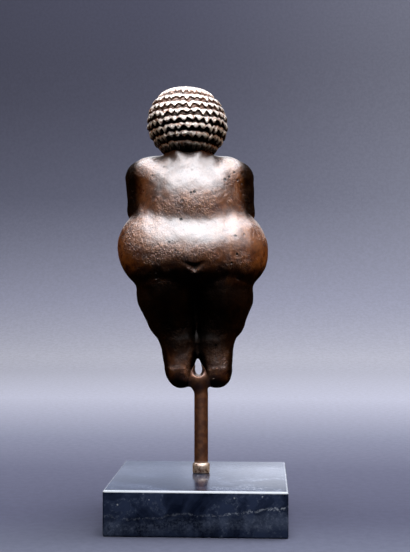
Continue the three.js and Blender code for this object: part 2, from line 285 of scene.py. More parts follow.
def close_pinches(values, step):
    """Takes away squares of the grid that are in, out, in and out round their corners."""
    just_inside = -step / 100
    pinched = True
    while pinched:
        pinched = False
        for u, v in ((0, 1), (1, 2), (2, 0)):
            w = 3 - u - v
            grid = np.moveaxis(values, (u, v, w), (0, 1, 2))
            corners = [grid[:-1, :-1], grid[1:, :-1], grid[1:, 1:], grid[:-1, 1:]]
            a, b, c, d = [corner < 0 for corner in corners]
            for i, j, k in np.argwhere((a == c) & (b == d) & (a != b)):
                places = [(i, j, k), (i + 1, j, k), (i + 1, j + 1, k), (i, j + 1, k)]
                outer = [place for place in places if grid[place] >= 0]
                if len(outer) == 2:
                    grid[min(outer, key=lambda place: grid[place])] = just_inside
                    pinched = True


def onto_skin(points, distance, step, turns=SKIN_TURNS):
    """Moves points straight along the slope of the distance until they lie on the skin."""
    start, probe, limit = points.copy(), step / PROBES_PER_STEP, step * SLIDE_LIMIT
    for _ in range(turns):
        slope = np.empty_like(points)
        for axis in range(3):
            offset = np.zeros(3)
            offset[axis] = probe
            slope[:, axis] = (distance(points + offset) - distance(points - offset)) / (2 * probe)
        pull = distance(points) / np.maximum((slope**2).sum(1), LEAST_PULL)
        points = np.clip(points - pull[:, None] * slope, start - limit, start + limit)
    return points


def even_out(points, quads, distance, step):
    """Slides each point half way to the middle of its neighbours and back onto the skin."""
    ends = np.concatenate([quads, np.roll(quads, 1, axis=1)]).ravel()
    others = np.concatenate([np.roll(quads, 1, axis=1), quads]).ravel()
    near = np.bincount(ends, minlength=len(points))[:, None]
    for _ in range(EVEN_TURNS):
        sums = [np.bincount(ends, points[others, axis], len(points)) for axis in range(3)]
        middle = np.stack(sums, 1) / near
        points = onto_skin((points + middle) / 2, distance, step, turns=1)
    return points


# %% [markdown]
# Faces on a skin
#
# A cell's vertex is the mean of the places where the skin crosses the cell's edges, and each face
# is turned so that it looks outwards.

# %% Mesh of a distance function
CELL_CORNERS = [(i, j, k) for i in (0, 1) for j in (0, 1) for k in (0, 1)]


def cell_points(values, cells):
    """For each cell, the mean of where its edges cross the skin, in steps of the grid."""
    sums, hits = np.zeros((len(cells), 3)), np.zeros(len(cells))
    for corner in CELL_CORNERS:
        for axis in range(3):
            if corner[axis]:
                continue
            other = np.array(corner)
            other[axis] = 1
            here = values[tuple((cells + corner).T)]
            there = values[tuple((cells + other).T)]
            crosses = (here < 0) != (there < 0)
            share = np.where(crosses, here / np.where(crosses, here - there, 1), 0)
            sums += crosses[:, None] * (np.array(corner) + share[:, None] * (other - corner))
            hits += crosses
    return cells + sums / hits[:, None]


def cell_faces(values, number):
    """Four-sided faces that join the numbered cells round each grid edge that the skin crosses."""
    quads = []
    unit = np.eye(3, dtype=int)
    for axis in range(3):
        u, v = unit[(axis + 1) % 3], unit[(axis + 2) % 3]
        change = np.diff((values < 0).astype(int), axis=axis)
        for sign, turned in ((-1, False), (1, True)):
            edge = np.argwhere(change == sign)
            ring = [number[tuple((edge - back).T)] for back in (0 * u, u, u + v, v)]
            quads.append(np.stack(ring[::-1] if turned else ring, 1))
    return np.concatenate(quads)


def skin(distance, low, high, step):
    """Points and four-sided faces where a distance function is zero, inside a box."""
    low, high = np.array(low), np.array(high)
    counts = np.ceil((high - low) / step).astype(int) + 1
    axes = [low[axis] + step * np.arange(counts[axis]) for axis in range(3)]
    grid = np.stack(np.meshgrid(*axes, indexing="ij"), -1).reshape(-1, 3)
    values = distance(grid).reshape(counts)
    close_pinches(values, step)

    filled = sum(shifted(values < 0, corner, counts).astype(int) for corner in CELL_CORNERS)
    crossed = (filled > 0) & (filled < len(CELL_CORNERS))
    cells = np.argwhere(crossed)
    number = np.full(crossed.shape, -1)
    number[crossed] = np.arange(len(cells))
    points = low + step * cell_points(values, cells)
    quads = cell_faces(values, number)
    return even_out(onto_skin(points, distance, step), quads, distance, step), quads


def mesh_object(name, points, faces):
    """A Blender object from points in metres and faces that list their corners."""
    mesh = bpy.data.meshes.new(name)
    mesh.from_pydata(points.tolist(), [], [list(map(int, face)) for face in faces])
    mesh.update()
    thing = bpy.data.objects.new(name, mesh)
    bpy.context.scene.collection.objects.link(thing)
    return thing


# %% [markdown]
# The body
#
# A step of about half a millimetre follows creases, fingers and the notch at the top of the cleft.
# The box that is walked is a little wider than the body on every side.

# %% Make the body
BODY_STEP = 0.58 * MM
BODY_LOW = np.array([-0.28, -0.26, -0.03]) * FIGURE_HEIGHT
BODY_HIGH = np.array([0.28, 0.2, 0.9]) * FIGURE_HEIGHT
body = mesh_object("body", *skin(cast_distance, BODY_LOW, BODY_HIGH, BODY_STEP))
print("body:", len(body.data.polygons), "faces")

# %% [markdown]
# The banded head
#
# The head is a globe that narrows to the chin and bows forward. Its cap is eight rows that overlap
# like shingles, each ending in a toothed edge over a deep groove, and it leaves a plain oval where
# the face would be. A smooth distance grid would round such edges off. So the head is a net of
# rings instead, and the rings follow the teeth: between one toothed edge and the next lie the same
# few rings at every angle, and a profile says how far each stands out.

# %% Shape of the cap
HEAD_AT = np.array([0, -0.016, 0.87]) * FIGURE_HEIGHT
HEAD_RADII = np.array([0.13, 0.128, 0.13]) * FIGURE_HEIGHT
HEAD_BOW = math.radians(7)
HEAD_TAPER = 0.24
CAP_ROWS = 8
CAP_TEETH = 30
CAP_TOP = 0.72  # heights on the head are shares of its half height
CAP_BOTTOM = -0.7
CAP_RELIEF = 1.0 * MM
ROW_SPACING = (CAP_TOP - CAP_BOTTOM) / (CAP_ROWS - 1)
ROW_SWAY = 0.018
SWAY_SHIFT = 0.9
TOOTH_DROP = 0.52
TOOTH_POINTED = 0.3  # 0 for round teeth, 1 for saw teeth
FACE_HALF_WIDTH = 0.8
FACE_MIDDLE = -0.16
FACE_HALF_HEIGHT = 0.66
FACE_FLATTEN = 0.035
FACE_RIM = (0.86, 1.06)  # where the relief starts and is full, in sizes of the face's oval
HAND = np.random.default_rng(7)  # the small differences from tooth to tooth
LENGTH_SPREAD, SHIFT_SPREAD, HEIGHT_SPREAD = 0.36, 0.17, 0.25
TOOTH_LENGTHS = 1 + LENGTH_SPREAD * HAND.uniform(-1, 1, (CAP_ROWS, CAP_TEETH))
TOOTH_SHIFTS = SHIFT_SPREAD * HAND.uniform(-1, 1, (CAP_ROWS, CAP_TEETH))
TOOTH_HEIGHTS = 1 + HEIGHT_SPREAD * HAND.uniform(-1, 1, (CAP_ROWS, CAP_TEETH))


def cap_share(angle, height):
    """How much of the cap's relief shows: 0 on the blank face, 1 on the cap."""
    ahead = (angle + math.pi / 2 + math.pi) % (2 * math.pi) - math.pi
    off = np.hypot(ahead / FACE_HALF_WIDTH, (height - FACE_MIDDLE) / FACE_HALF_HEIGHT)
    return smooth_step(off, *FACE_RIM)


def tooth_at(angle, row):
    """The tooth of a row at each angle, and the place across it, from -0.5 to 0.5."""
    turn = angle / (2 * math.pi) * CAP_TEETH + (row % 2) / 2
    nearest = np.round(turn)
    return nearest.astype(int) % CAP_TEETH, turn - nearest


def toothed_edge(angle, row):
    """Height of a row's lower edge at each angle."""
    level = CAP_TOP - row * ROW_SPACING
    tooth, across = tooth_at(angle, row)
    beside = across - TOOTH_SHIFTS[row, tooth] * np.cos(math.pi * across)
    point = 0.5 - 2 * np.minimum(np.abs(beside), 0.5)
    rounded = np.cos(2 * math.pi * np.clip(beside, -0.5, 0.5)) / 2
    shape = TOOTH_POINTED * point + (1 - TOOTH_POINTED) * rounded
    hang = (shape + 0.5) * TOOTH_LENGTHS[row, tooth] - 0.5
    sway = ROW_SWAY * np.sin(2 * angle + row * SWAY_SHIFT)
    reach = TOOTH_DROP * ROW_SPACING * math.sqrt(1 - level**2)  # shorter where they are narrower
    return level + sway - hang * reach * cap_share(angle, level)


def tooth_crown(angle, row):
    """1 along the middle of a tooth and less towards the notches beside it."""
    tooth, across = tooth_at(angle, row)
    crown = 0.5 + 0.5 * np.cos(2 * math.pi * across)
    return 0.5 + 0.5 * crown * TOOTH_HEIGHTS[row, tooth]


def head_point(angle, height, stand):
    """A point of the head from its angle, its height and how far it stands out, in metres."""
    ring = np.sqrt(np.clip(1 - height**2, 0, 1)) * (1 - HEAD_TAPER * np.minimum(height, 0) ** 2)
    out = HEAD_RADII + stand[:, None]
    return np.stack([ring * np.cos(angle), ring * np.sin(angle), height], 1) * out


print(CAP_ROWS, "rows,", round(ROW_SPACING * HEAD_RADII[2] / MM, 1), "mm apart")

# %% Rings of the head
COLUMNS_PER_TOOTH = 12
CROWN_RINGS = 12
CROWN_LIFT = 0.5
CROWN_RISE = (0.45, 0.9)
CROWN_EDGE = 0.34  # how much lower the crown's last ring lies
NAPE_RINGS = 9
NAPE_START = 0.15
NAPE_SINK = -0.5
ROW_PROFILE = [  # from one toothed edge (0) down to the next (1), and from groove to ridge
    (0.05, -0.42), (0.12, -0.5), (0.26, -0.48), (0.36, -0.32),  # groove
    (0.46, 0.02), (0.56, 0.28), (0.68, 0.42), (0.82, 0.5),  # slope up to the ridge
    (0.92, 0.49), (0.97, 0.4), (1.0, 0.16),  # toothed edge
]
columns = CAP_TEETH * COLUMNS_PER_TOOTH
angles = np.arange(columns) / columns * 2 * math.pi
rings = []  # each with its heights and its relief, in shares of the cap's relief
for ring in range(1, CROWN_RINGS + 1):
    share = ring / CROWN_RINGS
    lift = CROWN_LIFT * smooth_step(share, *CROWN_RISE) - (CROWN_EDGE if share == 1 else 0)
    rings.append((np.cos(share * np.arccos(toothed_edge(angles, 0))), np.full(columns, lift)))
for row in range(1, CAP_ROWS):
    upper, lower = toothed_edge(angles, row - 1), toothed_edge(angles, row)
    for share, relief in ROW_PROFILE:
        crowned = relief * (tooth_crown(angles, row) if relief > 0 else 1)
        rings.append((upper + (lower - upper) * share, np.full(columns, crowned)))
last = np.arccos(toothed_edge(angles, CAP_ROWS - 1))
for ring in range(NAPE_RINGS):
    fall = (ring + NAPE_START) / NAPE_RINGS
    nape_height = np.cos(last + (math.pi - last) * fall)
    rings.append((nape_height, np.full(columns, NAPE_SINK * (1 - fall))))
print(len(rings), "rings of", columns, "points")

# %% Net of the head
head_points = [np.array([[0, 0, HEAD_RADII[2]]])]
for height, relief in rings:
    share = cap_share(angles, height)
    stand = relief * CAP_RELIEF * share - FACE_FLATTEN * HEAD_RADII[0] * (1 - share)
    head_points.append(head_point(angles, height, stand))
head_points.append(np.array([[0, 0, -HEAD_RADII[2]]]))
head_points = np.concatenate(head_points)
head_faces = []
for column in range(columns):
    beside = (column + 1) % columns
    head_faces.append((0, 1 + column, 1 + beside))
    for ring in range(len(rings) - 1):
        upper, lower = 1 + ring * columns, 1 + (ring + 1) * columns
        head_faces.append((upper + column, lower + column, lower + beside, upper + beside))
    bottom = 1 + (len(rings) - 1) * columns
    head_faces.append((bottom + column, len(head_points) - 1, bottom + beside))
head_place = Matrix.Translation(Vector(HEAD_AT)) @ Matrix.Rotation(HEAD_BOW, 4, "X")
head = mesh_object("head", head_points, head_faces)
head.data.transform(head_place)
print("head:", len(head.data.polygons), "faces")

# %% [markdown]
# One casting
#
# Head and body are one piece of metal, so they are joined into one closed mesh by a Boolean
# modifier. Its Manifold solver is quick and exact on closed meshes.

# %% Join head and body


def joined(name, main, other):
    """One closed mesh from two that pass into each other."""
    boolean = main.modifiers.new("join", "BOOLEAN")
    boolean.operation = "UNION"
    boolean.solver = "MANIFOLD"
    boolean.object = other
    bpy.context.view_layer.update()
    finished = main.evaluated_get(bpy.context.evaluated_depsgraph_get())
    mesh = bpy.data.meshes.new_from_object(finished)
    for used in (main, other):
        bpy.data.meshes.remove(used.data)
    mesh.name = name
    thing = bpy.data.objects.new(name, mesh)
    bpy.context.scene.collection.objects.link(thing)
    return thing


figure = joined("figure_casting", body, head)
print("figure:", len(figure.data.polygons), "faces")

# %% [markdown]
# Where the patina gathers, and where shade is painted
#
# Bronze is darkened with chemicals, waxed and then rubbed with a cloth, which never reaches into
# folds. So the finish depends on how enclosed each point is, and the same measure paints the shade
# that falls in folds. That is measured once for every vertex, while the figure still stands upright
# at the origin: a short way out along its normal, an open place is just as far from the skin, and a
# place in a fold is nearer to it. Three more measures follow: the ridges of the cap, rubbed pale
# and partly a painted highlight that fades where they face down; the upward slopes of the back,
# which hands rub smooth; and the thighs, arms and undersides, which are painted dark as shade.

# %% Measure the folds
FOLD_REACH = [1.2 * MM, 4 * MM, 9 * MM]
FOLD_GAIN = 1.4
CUT_EDGE = 0.7 * MM  # how far the painted shade and deposit run out round a cut
CUT_PAINTED_SHADE = 0.5


def on_vertices(thing, name):
    """Three numbers for each vertex: its place (co) or its normal (normal)."""
    values = np.empty(len(thing.data.vertices) * 3)
    thing.data.vertices.foreach_get(name, values)
    return values.reshape(-1, 3)


figure_points = on_vertices(figure, "co")
figure_normals = on_vertices(figure, "normal")
on_body = figure_points / FIGURE_HEIGHT
upward = figure_normals[:, 2]  # from -1 where the skin faces down to 1 where it faces up
# Painted shade in folds and cuts, where real patina also gathers: the more enclosed, the darker
closed = [1 - body_distance(figure_points + figure_normals * reach) / reach for reach in FOLD_REACH]
folded = np.clip(np.clip(closed, 0, 1).mean(0) * FOLD_GAIN, 0, 1)
in_cut = np.min([mass_distance(on_body, cut) for cut in CUTS], axis=0) * FIGURE_HEIGHT
folded = np.maximum(folded, CUT_PAINTED_SHADE * (1 - smooth_step(in_cut, 0, CUT_EDGE)))
print("folded from", round(float(folded.min()), 2), "to", round(float(folded.max()), 2))

# %% Mark the grooves and ridges of the cap
HEAD_CLEAR = 0.3 * MM  # how far from the body's skin a point has to be to belong to the head
GROOVE_STAND = (-0.35 * MM, 0.3 * MM)  # from the floor of a groove to its rim
RIDGE_STAND = (0.02 * MM, 0.32 * MM)
CROWN_FADE = 0.1
UNLIT_RIDGE_SLOPE = (-0.95, -0.5)

head_local = (figure_points - HEAD_AT) @ np.array(head_place.to_3x3())
head_height = np.clip(head_local[:, 2] / HEAD_RADII[2], -1, 1)
head_taper = 1 - HEAD_TAPER * np.minimum(head_height, 0) ** 2
head_ring = HEAD_RADII * np.stack([head_taper, head_taper, np.ones(len(head_taper))], 1)
head_stand = (np.linalg.norm(head_local / head_ring, axis=1) - 1) * HEAD_RADII[0]
on_head = (body_distance(figure_points) > HEAD_CLEAR) | (head_local[:, 2] > 0)

cap_here = cap_share(np.arctan2(head_local[:, 1], head_local[:, 0]), head_height)
grooved = (1 - smooth_step(head_stand, *GROOVE_STAND)) * cap_here
# the cap's grooves get the same painted shade
folded = np.where(on_head, grooved, folded)
# The crown is painted pale as a whole: a painted highlight on the top, which faces the light
on_crown = smooth_step(head_height, CAP_TOP, CAP_TOP + CROWN_FADE)
ridged = smooth_step(head_stand, *RIDGE_STAND) * cap_here
ridged = np.maximum(ridged, on_crown * (1 - grooved)) * on_head
# painted highlight: the pale ridges fade where they face steeply down
ridged = ridged * smooth_step(upward, *UNLIT_RIDGE_SLOPE)
print(round(float((ridged > 0.5).sum() / on_head.sum()) * 100), "% of the head's points are ridges")

# %% Mark the polish and the painted shade
BACK_WIDTH = (0.04, 0.24)  # from the middle outwards, where hands stop reaching
FACES_UP = (-0.05, 0.3)
FACES_DOWN = (-0.15, -0.6)
FACES_ASIDE = (0.3, 0.8)
SEAT_LEVEL = (0.395, 0.335)
STUMP_LEVEL = (0.04, 0.15)
ARM_SIDE = (0.15, 0.185)
ELBOW_LEVEL = (0.54, 0.58)

aside, level = np.abs(on_body[:, 0]), on_body[:, 2]
middle_back = 1 - smooth_step(aside, *BACK_WIDTH)
polished = smooth_step(upward, *FACES_UP) * middle_back * ~on_head
sideways = smooth_step(np.abs(figure_normals[:, 0]), *FACES_ASIDE)
# Painted shade: the thighs under the hips, the calves' sides, the arms and all undersides go dark
on_legs = smooth_step(level, *SEAT_LEVEL) * np.maximum(smooth_step(level, *STUMP_LEVEL), sideways)
on_arms = smooth_step(aside, *ARM_SIDE) * smooth_step(level, *ELBOW_LEVEL)
facing_down = smooth_step(upward, *FACES_DOWN)
dark = np.maximum(np.maximum(on_legs, on_arms) * ~on_head, facing_down)


def keep_on_vertices(thing, name, values):
    """Stores a number for each vertex, for a material to read."""
    attribute = thing.data.attributes.new(name, "FLOAT", "POINT")
    attribute.data.foreach_set("value", values.astype(np.float32))


marks = {"folded": folded, "ridged": ridged, "polished": polished, "dark": dark}
for name, values in marks.items():
    keep_on_vertices(figure, name, values)
    print(name, "has a mean of", round(float(values.mean()), 2))

# %% [markdown]
# The figure's place
#
# The casting gets the part's placement: it leans sideways, with its soles kept level, and is turned
# a little about its post. A lean that keeps the soles level is a shear, so it is written as a
# matrix.

# %% Place the figure
FIGURE_LEAN = math.radians(2.6)
FIGURE_TURN = math.radians(4)
FIGURE_ASIDE = 0.7 * MM
POST_REACH = 30.8 * MM
POST_FORWARD = 5 * MM
CREASE_ANGLE = math.radians(50)
block_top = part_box("block")[1].z
lean = Matrix.Identity(4)
lean[0][2] = math.tan(FIGURE_LEAN)
soles = Vector((FIGURE_ASIDE, -POST_FORWARD, block_top + POST_REACH))
figure_place = Matrix.Translation(soles) @ lean @ Matrix.Rotation(FIGURE_TURN, 4, "Z")


def shade(thing):
    """Smooth, but with sharp edges where faces meet at more than the crease angle."""
    thing.data.shade_smooth()
    thing.data.set_sharp_from_angle(angle=CREASE_ANGLE)


figure.data.transform(figure_place)
shade(figure)
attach(figure, "root")
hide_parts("figure")
print("soles", round((block_top + POST_REACH) / MM, 1), "mm above the floor")

# %% [markdown]
# The post
#
# The post is a drawn rod with a turned collar at its foot, and it ends in a fork between the
# calves. The rod is round, so it is a profile spun about its axis. The fork isn't: it is a small
# cup, hollowed from front to back so that two prongs stand up, and it is brazed to the calves. Its
# distance function is short, and it leaves a thin bead of braze where it meets the figure.

# %% Profile of the rod
POST_DIAMETER = 5 * MM
ROD_SIDES = 96
ROD_RINGS = 24
COLLAR_SWELL = 0.65 * MM
COLLAR_HEIGHT = 4.1 * MM
COLLAR_TOP_ROUND = 1.5 * MM
COLLAR_TOP_ARC = (0, 62)  # degrees
FOOT_ROUND = 0.5 * MM
FOOT_ARC = (-70, 0)
TOP_POINTS, FOOT_POINTS = 9, 5  # on the two arcs
FILLET = 0.06 * MM  # the small hollow where the collar runs into the rod
FILLET_LEVELS = (0.02 * MM, 0.3 * MM)
PLAIN_LEVEL = 1 * MM
NECK_DROP = 1.8 * MM  # how far under the soles the fork's neck starts


def arc(middle, radius, degrees, points):
    """Points of an arc in the (radius, height) plane, from one angle to another."""
    turns = np.radians(np.linspace(*degrees, points))
    return [(middle[0] + radius * math.cos(t), middle[1] + radius * math.sin(t)) for t in turns]


def lathe(name, profile, sides):
    """A closed solid from a profile that starts and ends on the axis."""
    middle = [(radius, height) for radius, height in profile if radius > 0]
    points = [(0, 0, profile[0][1]), (0, 0, profile[-1][1])]
    for radius, height in middle:
        for side in range(sides):
            turn = side / sides * 2 * math.pi
            points.append((radius * math.cos(turn), radius * math.sin(turn), height))
    faces = []
    for side in range(sides):
        beside = (side + 1) % sides
        faces.append((0, 2 + beside, 2 + side))
        for ring in range(len(middle) - 1):
            lower, upper = 2 + ring * sides, 2 + (ring + 1) * sides
            faces.append((lower + side, lower + beside, upper + beside, upper + side))
        top = 2 + (len(middle) - 1) * sides
        faces.append((1, top + side, top + beside))
    return mesh_object(name, np.array(points), faces)


rod_radius = POST_DIAMETER / 2
rod_top = POST_REACH - NECK_DROP
collar_radius = rod_radius + COLLAR_SWELL
foot_middle = (collar_radius - FOOT_ROUND, FOOT_ROUND)
shoulder_middle = (collar_radius - COLLAR_TOP_ROUND, COLLAR_HEIGHT - COLLAR_TOP_ROUND)
rod_levels = np.linspace(COLLAR_HEIGHT + PLAIN_LEVEL, rod_top, ROD_RINGS)
rod_profile = [
    (0, 0),
    (collar_radius - FOOT_ROUND, 0),
    *arc(foot_middle, FOOT_ROUND, FOOT_ARC, FOOT_POINTS),
    *arc(shoulder_middle, COLLAR_TOP_ROUND, COLLAR_TOP_ARC, TOP_POINTS),
    (rod_radius + FILLET, COLLAR_HEIGHT + FILLET_LEVELS[0]),
    (rod_radius, COLLAR_HEIGHT + FILLET_LEVELS[1]),
    *[(rod_radius, height) for height in rod_levels],
    (0, rod_top),
]
rod = lathe("rod", rod_profile, ROD_SIDES)
print("rod:", len(rod.data.polygons), "faces")

# %% Fork of the post
CUP_SIZE = np.array([8, 8.6, 8.4]) * MM
CUP_RISE = 3.6 * MM
HOLLOW_DIAMETER = 4.4 * MM
HOLLOW_RISE = 6.8 * MM
HOLLOW_ROUND = 0.5 * MM
NECK_SLIM = 0.99  # keeps the neck's start inside the rod
NECK_BLEND = 2 * MM
BRAZE = 0.35 * MM  # how far the bead runs out round the calves
BRAZE_SWELL = 0.02 * MM
BRAZE_BLEND = 4  # in widths of the bead
BRAZE_REACH = 3
CALF_OVERLAP = 0.25 * MM  # how deep the fork sits in the calves
FORK_STEP = 0.25 * MM
FORK_SIDES = (-7 * MM, 9 * MM)
FORK_DEPTHS = (-7 * MM, 7 * MM)
cup_middle = np.array([FIGURE_ASIDE + CUP_RISE * math.tan(FIGURE_LEAN), 0, POST_REACH + CUP_RISE])
post_foot = Vector((0, -POST_FORWARD, block_top))
figure_from_post = np.array(figure_place.inverted() @ Matrix.Translation(post_foot))


def fork_distance(points):
    """Metres from each point to the fork's skin, with the post's foot at the origin."""
    neck = limb([0, 0, rod_top], cup_middle, [rod_radius * NECK_SLIM, rod_radius], 0)[0]
    cup = ball(cup_middle, CUP_SIZE / 2, 0)[0]
    swell = soft_min(limb_distance(points, neck), ball_distance(points, cup), NECK_BLEND)
    hollow_at = np.array([cup_middle[0], POST_REACH + HOLLOW_RISE])
    hollow = np.linalg.norm(points[:, [0, 2]] - hollow_at, axis=1) - HOLLOW_DIAMETER / 2
    fork = -soft_min(-swell, hollow, HOLLOW_ROUND)
    on_figure = points @ figure_from_post[:3, :3].T + figure_from_post[:3, 3]
    calves = body_distance(on_figure)
    bead = soft_min(fork, calves, BRAZE * BRAZE_BLEND) + BRAZE_SWELL
    near_fork = fork - BRAZE * BRAZE_REACH
    return np.maximum(np.maximum(np.minimum(fork, bead), near_fork), -calves - CALF_OVERLAP)


fork_low = [FORK_SIDES[0], FORK_DEPTHS[0], rod_top - POST_DIAMETER]
fork_high = [FORK_SIDES[1], FORK_DEPTHS[1], POST_REACH + CUP_RISE + CUP_SIZE[2]]
fork = mesh_object("fork", *skin(fork_distance, fork_low, fork_high, FORK_STEP))
post = joined("post_and_fork", rod, fork)
post.data.transform(Matrix.Translation(post_foot))
shade(post)
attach(post, "root")
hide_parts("post")
print("post:", len(post.data.polygons), "faces")

# %% [markdown]
# The marble block
#
# The block is sawn and polished, and its edges are eased by hand: a small round that catches the
# light all along. It is a cube from bmesh, stretched to the solid's box, with all its edges
# bevelled in four steps. The narrow faces on the top's edges are marked as eased, to be painted
# pale, and most at the back, which faces the camera: there the extra paleness is a painted
# highlight.

# %% Make the block
EDGE_ROUND = 0.65 * MM
EDGE_STEPS = 4
SLANTED = (0.05, 0.99)  # how far a face on a top edge faces up: neither upright nor level
# the edges facing the camera get a painted highlight on top of their paleness
EASED_BACK_HIGHLIGHT, EASED_ELSEWHERE = 1, 0.3
block_low, block_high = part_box("block")
shape = bmesh.new()
bmesh.ops.create_cube(shape, size=1)
middle = (block_low + block_high) / 2
for corner in shape.verts:
    corner.co = middle + Vector(a * b for a, b in zip(corner.co, block_high - block_low))
bmesh.ops.bevel(
    shape, geom=shape.edges[:], offset=EDGE_ROUND, segments=EDGE_STEPS, profile=0.5, affect="EDGES"
)
block_mesh = bpy.data.meshes.new("marble_block")
shape.to_mesh(block_mesh)
shape.free()
eased = block_mesh.attributes.new("eased", "FLOAT", "FACE")
for index, face in enumerate(block_mesh.polygons):
    at_back = face.normal.y > SLANTED[0]
    on_edge = SLANTED[0] < face.normal.z < SLANTED[1]
    eased.data[index].value = on_edge * (EASED_BACK_HIGHLIGHT if at_back else EASED_ELSEWHERE)
block = bpy.data.objects.new("marble_block", block_mesh)
bpy.context.scene.collection.objects.link(block)
shade(block)
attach(block, "root")
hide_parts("block")
print("block:", len(block_mesh.polygons), "faces")

# %% [markdown]
# Writing materials as sums
#
# A material is a web of nodes, and drawing one by hand is slow. This small class wraps a node's
# output, so that a + b, 1 - mask or abs(a) adds the Math node that does it. Colours are mixed by a
# mask, because a Math node would turn them grey. Every other node comes from one method, add.

# %% A socket that can be calculated with


class Wire:
    def __init__(self, tree, socket=None):
        self.tree = tree
        self.socket = socket

    def add(self, kind, settings=None, sockets=None, output=0):
        """A new node: its settings first, then the values or wires of its sockets."""
        node = self.tree.nodes.new("ShaderNode" + kind)
        for name, value in (settings or {}).items():
            if name == "stops":
                while len(node.color_ramp.elements) < len(value):
                    node.color_ramp.elements.new(0.5)
                for element, (position, colour) in zip(node.color_ramp.elements, value):
                    element.position = position
                    element.color = (*colour, 1)
            else:
                setattr(node, name, value)
        for name, value in (sockets or {}).items():
            if isinstance(value, Wire):
                self.tree.links.new(value.socket, node.inputs[name])
            else:
                node.inputs[name].default_value = value
        return Wire(self.tree, node.outputs[output])

    def math(self, operation, *values):
        return self.add("Math", {"operation": operation}, dict(enumerate(values)))

    def __add__(self, other):
        return self.math("ADD", self, other)

    def __sub__(self, other):
        return self.math("SUBTRACT", self, other)

    def __mul__(self, other):
        return self.math("MULTIPLY", self, other)

    def __rsub__(self, other):
        return self.math("SUBTRACT", other, self)

    __radd__ = __add__
    __rmul__ = __mul__

    def __abs__(self):
        return self.math("ABSOLUTE", self)

    def larger(self, other):
        return self.math("MAXIMUM", self, other)

    def step(self, low, high):
        """0 below low, 1 above high and smooth between them. It turns round where high is lower."""
        limits = {"Value": self, "From Min": low, "From Max": high}
        return self.add("MapRange", {"interpolation_type": "SMOOTHSTEP"}, limits)

    def colour(self, first, second):
        """A colour between two, with this wire as the mask."""
        return self.add("Mix", {"data_type": "RGBA"}, {0: self, 6: first, 7: second}, 2)


def rgb(red, green, blue):
    """A colour as a node wants it, from the 0 to 255 values that a screen shows."""
    shown = (red, green, blue)
    linear = [((c / 255 + 0.055) / 1.055) ** 2.4 if c > 10 else c / 255 / 12.92 for c in shown]
    return (*linear, 1)


# %% Start and finish of a material
# Dull black for painted shade, and for the deposit that gathers in folds
SHADE_AND_DEPOSIT_BLACK = rgb(6, 4, 3)


def new_material(name):
    """An empty material, the wire to start from and the place in millimetres."""
    material = bpy.data.materials.new(name)
    material.use_nodes = True
    material.node_tree.nodes.clear()
    start = Wire(material.node_tree)
    place = start.add("TexCoord", output=3)
    scaled = start.add("VectorMath", {"operation": "SCALE"}, {0: place, "Scale": 1 / MM})
    return material, start, scaled


def noise(place, scale, detail, roughness=0.5, output=0):
    """Soft patches, about as many to the millimetre as scale says."""
    sockets = {"Vector": place, "Scale": scale, "Detail": detail, "Roughness": roughness}
    return place.add("TexNoise", sockets=sockets, output=output)


def kept(start, name):
    """A number that was stored on the mesh."""
    return start.add("Attribute", {"attribute_name": name}, output=2)


def finish_material(start, sockets, shade_and_deposit=None):
    """The material's shader and output, and a mask of dull black for painted shade and deposit."""
    surface = start.add("BsdfPrincipled", sockets=sockets)
    if shade_and_deposit:
        dull_black = start.add("BsdfDiffuse", sockets={"Color": SHADE_AND_DEPOSIT_BLACK})
        surface = start.add("MixShader", sockets={0: shade_and_deposit, 1: surface, 2: dull_black})
    output = start.tree.nodes.new("ShaderNodeOutputMaterial")
    start.tree.links.new(surface.socket, output.inputs["Surface"])


def dress(thing, material):
    """Gives a thing one material, and says how many nodes that has."""
    thing.data.materials.clear()
    thing.data.materials.append(material)
    print(thing.name, "wears", material.name, "of", len(material.node_tree.nodes), "nodes")


# %% [markdown]
# Waxed brown bronze
#
# What is seen is not bare metal but a thin brown skin on it, under wax. The skin is a dark brown,
# hardly metallic layer with highlights of its own, and the wax is a clear coat over it. A coat is
# smooth whatever lies under it, so the two share the highlights: the coat's are broad and white,
# and the skin's follow its grain. The textures are slow patches, the grain of the casting, fine
# crumbs, scattered pin holes, and scratches from handling. A dull black covers the folds, as
# painted shade together with the patina that gathers there, and the thighs, arms and undersides, as
# painted shade alone. The ridges of the cap are rubbed through to pale metal, partly a painted
# highlight, and on the crown, which faces the light, the painted shade in the grooves is mostly
# lifted.

# %% Textures of the casting
bronze, start, place = new_material("waxed_bronze")
folded_wire, ridged_wire = kept(start, "folded"), kept(start, "ridged")
polished_wire, painted_shade_wire = kept(start, "polished"), kept(start, "dark")
broad = noise(place, 0.08, 3)
patches = noise(place, 0.3, 6, 0.68)
grain = noise(place, 0.8, 3, 0.6)
crumbs = noise(place, 1.7, 3, 0.6)
pit_cells = start.add("TexVoronoi", sockets={"Vector": place, "Scale": 0.3, "Randomness": 1})
pits = pit_cells.step(0.2, 0.09) * noise(place, 0.12, 2).step(0.48, 0.6)
brushed_place = start.add("VectorMath", {"operation": "MULTIPLY"}, {0: place, 1: (1.6, 1.6, 0.2)})
scratches = noise(brushed_place, 0.8, 3).step(0.6, 0.7)
rough_here = (1 - polished_wire * 0.85) * broad.step(0.3, 0.6)
print(len(bronze.node_tree.nodes), "nodes for the textures")

# %% Bronze of the figure
LOW_BROWN, HIGH_BROWN, HANDLED_BROWN = rgb(96, 44, 8), rgb(162, 94, 34), rgb(44, 30, 24)
PALE_CRUMB, DARK_CRUMB, PIT_BLACK = rgb(186, 138, 88), rgb(24, 11, 5), rgb(8, 5, 4)
# pale metal on the ridges: rubbed wear, and partly a painted highlight
RUBBED_AND_SHEEN_METAL = rgb(220, 208, 198)
CROWN_LEVEL = (141, 152)  # millimetres above the floor
CROWN_SHADE_LIFT = 0.75
# how black the painted shade on the thighs, arms and undersides gets
PAINTED_SHADE_DEPTH = 0.95

